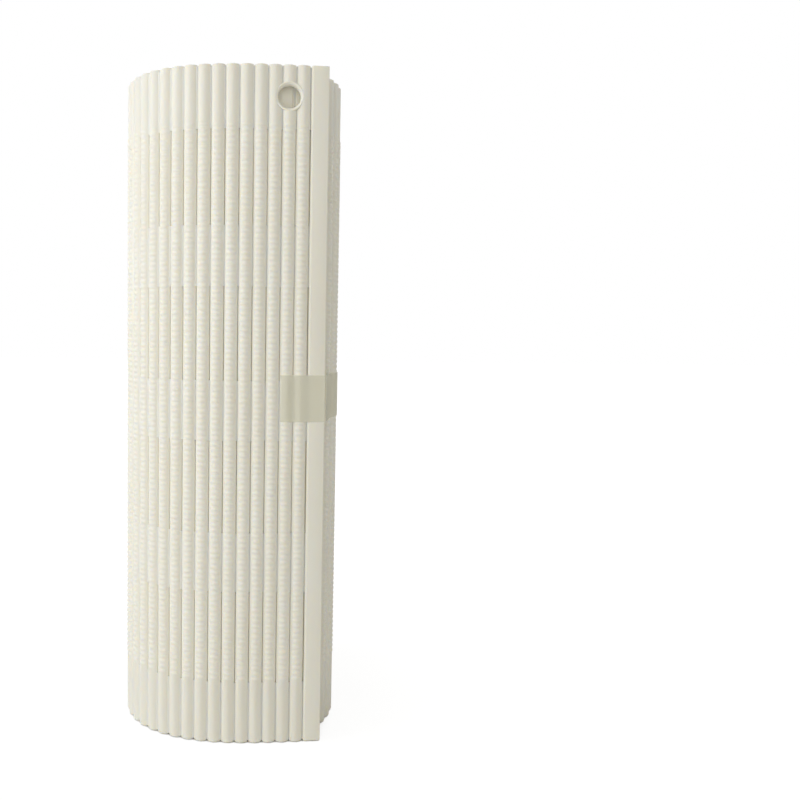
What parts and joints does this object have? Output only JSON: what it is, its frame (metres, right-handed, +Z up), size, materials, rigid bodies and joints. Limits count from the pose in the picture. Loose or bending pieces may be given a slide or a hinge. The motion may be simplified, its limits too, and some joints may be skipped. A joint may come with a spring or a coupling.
{
  "type": "sushi rolling mat",
  "caption": "Ribbed moulded-plastic sushi rolling mat, rolled once into a loose upright roll, its flap held by a strip of clear tape.",
  "frame": {"origin": "middle of the base of the standing roll, at the middle of its outline", "axes": "+Z up along the ribs, -Y out of the front of the roll, where the flap lies, +X towards the flap's free edge"},
  "size_m": [0.0822, 0.0692, 0.24],
  "materials": {
    "mat_plastic": "semi-matte, milky ivory white, slightly translucent soft moulded plastic",
    "tape_film": "frosted clear adhesive film"
  },
  "bodies": {
    "flap_end": {"outer_strip": "mat_plastic", "rib_01": "mat_plastic", "eyelet_rib": "mat_plastic", "rib_03": "mat_plastic", "tape_front": "tape_film"},
    "rib_04": {"rib_04": "mat_plastic"},
    "rib_05": {"rib_05": "mat_plastic"},
    "rib_06": {"rib_06": "mat_plastic"},
    "rib_07": {"rib_07": "mat_plastic"},
    "rib_08": {"rib_08": "mat_plastic"},
    "rib_09": {"rib_09": "mat_plastic"},
    "rib_10": {"rib_10": "mat_plastic"},
    "rib_11": {"rib_11": "mat_plastic"},
    "rib_12": {"rib_12": "mat_plastic"},
    "rib_13": {"rib_13": "mat_plastic"},
    "rib_14": {"rib_14": "mat_plastic"},
    "rib_15": {"rib_15": "mat_plastic"},
    "rib_16": {"rib_16": "mat_plastic"},
    "rib_17": {"rib_17": "mat_plastic"},
    "rib_18": {"rib_18": "mat_plastic"},
    "rib_19": {"rib_19": "mat_plastic"},
    "rib_20": {"rib_20": "mat_plastic"},
    "rib_21": {"rib_21": "mat_plastic"},
    "rib_22": {"rib_22": "mat_plastic"},
    "rib_23": {"rib_23": "mat_plastic"},
    "rib_24": {"rib_24": "mat_plastic"},
    "rib_25": {"rib_25": "mat_plastic"},
    "rib_26": {"rib_26": "mat_plastic"},
    "rib_27": {"rib_27": "mat_plastic"},
    "rib_28": {"rib_28": "mat_plastic"},
    "rib_29": {"rib_29": "mat_plastic"},
    "rib_30": {"rib_30": "mat_plastic"},
    "rib_31": {"rib_31": "mat_plastic"},
    "rib_32": {"rib_32": "mat_plastic"},
    "rib_33": {"rib_33": "mat_plastic"},
    "rib_34": {"rib_34": "mat_plastic"},
    "rib_35": {"rib_35": "mat_plastic"},
    "rib_36": {"rib_36": "mat_plastic"},
    "rib_37": {"rib_37": "mat_plastic"},
    "rib_38": {"rib_38": "mat_plastic"},
    "rib_39": {"rib_39": "mat_plastic"},
    "rib_40": {"rib_40": "mat_plastic"},
    "rib_41": {"rib_41": "mat_plastic"},
    "rib_42": {"rib_42": "mat_plastic"},
    "rib_43": {"rib_43": "mat_plastic"},
    "rib_44": {"rib_44": "mat_plastic"},
    "rib_45": {"rib_45": "mat_plastic"},
    "rib_46": {"rib_46": "mat_plastic"},
    "rib_47": {"rib_47": "mat_plastic"},
    "inner_strip": {"inner_strip": "mat_plastic"},
    "tape_tail": {"tape_tail": "tape_film"}
  },
  "joints": [
    {"name": "hinge_04", "type": "hinge", "parent": "rib_04", "child": "flap_end", "pos_m": [0.0128, -0.03217, 0.12], "axis": [0, 0, 1], "range_deg": [-1.5, 0]},
    {"name": "hinge_05", "type": "hinge", "parent": "rib_05", "child": "rib_04", "pos_m": [0.0079, -0.03241, 0.12], "axis": [0, 0, 1], "range_deg": [-2.1, 0]},
    {"name": "hinge_06", "type": "hinge", "parent": "rib_06", "child": "rib_05", "pos_m": [0.003, -0.03246, 0.12], "axis": [0, 0, 1], "range_deg": [-2.7, 0]},
    {"name": "hinge_07", "type": "hinge", "parent": "rib_07", "child": "rib_06", "pos_m": [-0.00189, -0.03228, 0.12], "axis": [0, 0, 1], "range_deg": [-3.52, 0]},
    {"name": "hinge_08", "type": "hinge", "parent": "rib_08", "child": "rib_07", "pos_m": [-0.00677, -0.0318, 0.12], "axis": [0, 0, 1], "range_deg": [-4.33, 0]},
    {"name": "hinge_09", "type": "hinge", "parent": "rib_09", "child": "rib_08", "pos_m": [-0.01159, -0.03095, 0.12], "axis": [0, 0, 1], "range_deg": [-5.15, 0]},
    {"name": "hinge_10", "type": "hinge", "parent": "rib_10", "child": "rib_09", "pos_m": [-0.01633, -0.02967, 0.12], "axis": [0, 0, 1], "range_deg": [-5.97, 0]},
    {"name": "hinge_11", "type": "hinge", "parent": "rib_11", "child": "rib_10", "pos_m": [-0.0209, -0.02791, 0.12], "axis": [0, 0, 1], "range_deg": [-6.78, 0]},
    {"name": "flap_lift", "type": "hinge", "parent": "rib_12", "child": "rib_11", "pos_m": [-0.02523, -0.02562, 0.12], "axis": [0, 0, 1], "range_deg": [-7.6, 0]},
    {"name": "hinge_13", "type": "hinge", "parent": "rib_13", "child": "rib_12", "pos_m": [-0.02922, -0.02278, 0.12], "axis": [0, 0, 1], "range_deg": [-9.1, 0]},
    {"name": "hinge_14", "type": "hinge", "parent": "rib_14", "child": "rib_13", "pos_m": [-0.03271, -0.01934, 0.12], "axis": [0, 0, 1], "range_deg": [-10.6, 0]},
    {"name": "hinge_15", "type": "hinge", "parent": "rib_15", "child": "rib_14", "pos_m": [-0.03551, -0.01532, 0.12], "axis": [0, 0, 1], "range_deg": [-10.43, 0]},
    {"name": "hinge_16", "type": "hinge", "parent": "rib_16", "child": "rib_15", "pos_m": [-0.03754, -0.01086, 0.12], "axis": [0, 0, 1], "range_deg": [-10.25, 0]},
    {"name": "hinge_17", "type": "hinge", "parent": "rib_17", "child": "rib_16", "pos_m": [-0.03874, -0.00611, 0.12], "axis": [0, 0, 1], "range_deg": [-10.08, 0]},
    {"name": "hinge_18", "type": "hinge", "parent": "rib_18", "child": "rib_17", "pos_m": [-0.03909, -0.00122, 0.12], "axis": [0, 0, 1], "range_deg": [-9.9, 0]},
    {"name": "hinge_19", "type": "hinge", "parent": "rib_19", "child": "rib_18", "pos_m": [-0.0386, 0.00365, 0.12], "axis": [0, 0, 1], "range_deg": [-9.43, 0]},
    {"name": "hinge_20", "type": "hinge", "parent": "rib_20", "child": "rib_19", "pos_m": [-0.03731, 0.00838, 0.12], "axis": [0, 0, 1], "range_deg": [-8.97, 0]},
    {"name": "hinge_21", "type": "hinge", "parent": "rib_21", "child": "rib_20", "pos_m": [-0.0353, 0.01285, 0.12], "axis": [0, 0, 1], "range_deg": [-8.5, 0]},
    {"name": "hinge_22", "type": "hinge", "parent": "rib_22", "child": "rib_21", "pos_m": [-0.03265, 0.01697, 0.12], "axis": [0, 0, 1], "range_deg": [-8.03, 0]},
    {"name": "hinge_23", "type": "hinge", "parent": "rib_23", "child": "rib_22", "pos_m": [-0.02945, 0.02069, 0.12], "axis": [0, 0, 1], "range_deg": [-7.57, 0]},
    {"name": "hinge_24", "type": "hinge", "parent": "rib_24", "child": "rib_23", "pos_m": [-0.0258, 0.02394, 0.12], "axis": [0, 0, 1], "range_deg": [-7.1, 0]},
    {"name": "unroll", "type": "hinge", "parent": "rib_24", "child": "rib_25", "pos_m": [-0.02176, 0.02673, 0.12], "axis": [0, 0, -1], "range_deg": [-7.05, 0]},
    {"name": "hinge_26", "type": "hinge", "parent": "rib_25", "child": "rib_26", "pos_m": [-0.01742, 0.02899, 0.12], "axis": [0, 0, -1], "range_deg": [-7, 0]},
    {"name": "hinge_27", "type": "hinge", "parent": "rib_26", "child": "rib_27", "pos_m": [-0.01283, 0.03071, 0.12], "axis": [0, 0, -1], "range_deg": [-6.95, 0]},
    {"name": "hinge_28", "type": "hinge", "parent": "rib_27", "child": "rib_28", "pos_m": [-0.00807, 0.03187, 0.12], "axis": [0, 0, -1], "range_deg": [-6.9, 0]},
    {"name": "hinge_29", "type": "hinge", "parent": "rib_28", "child": "rib_29", "pos_m": [-0.0032, 0.03244, 0.12], "axis": [0, 0, -1], "range_deg": [-6.85, 0]},
    {"name": "hinge_30", "type": "hinge", "parent": "rib_29", "child": "rib_30", "pos_m": [0.0017, 0.03242, 0.12], "axis": [0, 0, -1], "range_deg": [-6.8, 0]},
    {"name": "hinge_31", "type": "hinge", "parent": "rib_30", "child": "rib_31", "pos_m": [0.00656, 0.03183, 0.12], "axis": [0, 0, -1], "range_deg": [-6.75, 0]},
    {"name": "hinge_32", "type": "hinge", "parent": "rib_31", "child": "rib_32", "pos_m": [0.01132, 0.03067, 0.12], "axis": [0, 0, -1], "range_deg": [-6.7, 0]},
    {"name": "hinge_33", "type": "hinge", "parent": "rib_32", "child": "rib_33", "pos_m": [0.01592, 0.02896, 0.12], "axis": [0, 0, -1], "range_deg": [-6.65, 0]},
    {"name": "hinge_34", "type": "hinge", "parent": "rib_33", "child": "rib_34", "pos_m": [0.02028, 0.02673, 0.12], "axis": [0, 0, -1], "range_deg": [-6.6, 0]},
    {"name": "hinge_35", "type": "hinge", "parent": "rib_34", "child": "rib_35", "pos_m": [0.02436, 0.02402, 0.12], "axis": [0, 0, -1], "range_deg": [-6.98, 0]},
    {"name": "hinge_36", "type": "hinge", "parent": "rib_35", "child": "rib_36", "pos_m": [0.02808, 0.02083, 0.12], "axis": [0, 0, -1], "range_deg": [-7.35, 0]},
    {"name": "hinge_37", "type": "hinge", "parent": "rib_36", "child": "rib_37", "pos_m": [0.03136, 0.01719, 0.12], "axis": [0, 0, -1], "range_deg": [-7.73, 0]},
    {"name": "hinge_38", "type": "hinge", "parent": "rib_37", "child": "rib_38", "pos_m": [0.03412, 0.01314, 0.12], "axis": [0, 0, -1], "range_deg": [-8.1, 0]},
    {"name": "hinge_39", "type": "hinge", "parent": "rib_38", "child": "rib_39", "pos_m": [0.03628, 0.00874, 0.12], "axis": [0, 0, -1], "range_deg": [-8.48, 0]},
    {"name": "hinge_40", "type": "hinge", "parent": "rib_39", "child": "rib_40", "pos_m": [0.03777, 0.00408, 0.12], "axis": [0, 0, -1], "range_deg": [-8.85, 0]},
    {"name": "hinge_41", "type": "hinge", "parent": "rib_40", "child": "rib_41", "pos_m": [0.03853, -0.00076, 0.12], "axis": [0, 0, -1], "range_deg": [-9.23, 0]},
    {"name": "hinge_42", "type": "hinge", "parent": "rib_41", "child": "rib_42", "pos_m": [0.0385, -0.00566, 0.12], "axis": [0, 0, -1], "range_deg": [-9.6, 0]},
    {"name": "hinge_43", "type": "hinge", "parent": "rib_42", "child": "rib_43", "pos_m": [0.03765, -0.01049, 0.12], "axis": [0, 0, -1], "range_deg": [-10.18, 0]},
    {"name": "hinge_44", "type": "hinge", "parent": "rib_43", "child": "rib_44", "pos_m": [0.03597, -0.01509, 0.12], "axis": [0, 0, -1], "range_deg": [-10.77, 0]},
    {"name": "hinge_45", "type": "hinge", "parent": "rib_44", "child": "rib_45", "pos_m": [0.03345, -0.0193, 0.12], "axis": [0, 0, -1], "range_deg": [-11.35, 0]},
    {"name": "hinge_46", "type": "hinge", "parent": "rib_45", "child": "rib_46", "pos_m": [0.03016, -0.02292, 0.12], "axis": [0, 0, -1], "range_deg": [-11.93, 0]},
    {"name": "hinge_47", "type": "hinge", "parent": "rib_46", "child": "rib_47", "pos_m": [0.02618, -0.02579, 0.12], "axis": [0, 0, -1], "range_deg": [-12.52, 0]},
    {"name": "hinge_48", "type": "hinge", "parent": "rib_47", "child": "inner_strip", "pos_m": [0.02168, -0.02773, 0.12], "axis": [0, 0, -1], "range_deg": [-13.1, 0]},
    {"name": "tape_peel", "type": "hinge", "parent": "flap_end", "child": "tape_tail", "pos_m": [0.03417, -0.0321, 0.1245], "axis": [0, 0, 1], "range_deg": [-99.86, 0]}
  ],
  "couplings": [
    {"joint": "hinge_04", "follows": "flap_lift", "ratio": 0.19737},
    {"joint": "hinge_05", "follows": "flap_lift", "ratio": 0.27632},
    {"joint": "hinge_06", "follows": "flap_lift", "ratio": 0.35526},
    {"joint": "hinge_07", "follows": "flap_lift", "ratio": 0.46272},
    {"joint": "hinge_08", "follows": "flap_lift", "ratio": 0.57018},
    {"joint": "hinge_09", "follows": "flap_lift", "ratio": 0.67763},
    {"joint": "hinge_10", "follows": "flap_lift", "ratio": 0.78509},
    {"joint": "hinge_11", "follows": "flap_lift", "ratio": 0.89254},
    {"joint": "hinge_13", "follows": "unroll", "ratio": 1.2908},
    {"joint": "hinge_14", "follows": "unroll", "ratio": 1.5035},
    {"joint": "hinge_15", "follows": "unroll", "ratio": 1.4787},
    {"joint": "hinge_16", "follows": "unroll", "ratio": 1.4539},
    {"joint": "hinge_17", "follows": "unroll", "ratio": 1.4291},
    {"joint": "hinge_18", "follows": "unroll", "ratio": 1.4043},
    {"joint": "hinge_19", "follows": "unroll", "ratio": 1.3381},
    {"joint": "hinge_20", "follows": "unroll", "ratio": 1.2719},
    {"joint": "hinge_21", "follows": "unroll", "ratio": 1.2057},
    {"joint": "hinge_22", "follows": "unroll", "ratio": 1.1395},
    {"joint": "hinge_23", "follows": "unroll", "ratio": 1.0733},
    {"joint": "hinge_24", "follows": "unroll", "ratio": 1.0071},
    {"joint": "hinge_26", "follows": "unroll", "ratio": 0.99291},
    {"joint": "hinge_27", "follows": "unroll", "ratio": 0.98582},
    {"joint": "hinge_28", "follows": "unroll", "ratio": 0.97872},
    {"joint": "hinge_29", "follows": "unroll", "ratio": 0.97163},
    {"joint": "hinge_30", "follows": "unroll", "ratio": 0.96454},
    {"joint": "hinge_31", "follows": "unroll", "ratio": 0.95745},
    {"joint": "hinge_32", "follows": "unroll", "ratio": 0.95035},
    {"joint": "hinge_33", "follows": "unroll", "ratio": 0.94326},
    {"joint": "hinge_34", "follows": "unroll", "ratio": 0.93617},
    {"joint": "hinge_35", "follows": "unroll", "ratio": 0.98936},
    {"joint": "hinge_36", "follows": "unroll", "ratio": 1.0426},
    {"joint": "hinge_37", "follows": "unroll", "ratio": 1.0957},
    {"joint": "hinge_38", "follows": "unroll", "ratio": 1.1489},
    {"joint": "hinge_39", "follows": "unroll", "ratio": 1.2021},
    {"joint": "hinge_40", "follows": "unroll", "ratio": 1.2553},
    {"joint": "hinge_41", "follows": "unroll", "ratio": 1.3085},
    {"joint": "hinge_42", "follows": "unroll", "ratio": 1.3617},
    {"joint": "hinge_43", "follows": "unroll", "ratio": 1.4444},
    {"joint": "hinge_44", "follows": "unroll", "ratio": 1.5272},
    {"joint": "hinge_45", "follows": "unroll", "ratio": 1.6099},
    {"joint": "hinge_46", "follows": "unroll", "ratio": 1.6927},
    {"joint": "hinge_47", "follows": "unroll", "ratio": 1.7754},
    {"joint": "hinge_48", "follows": "unroll", "ratio": 1.8582},
    {"joint": "tape_peel", "follows": "unroll", "ratio": 14.164}
  ]
}
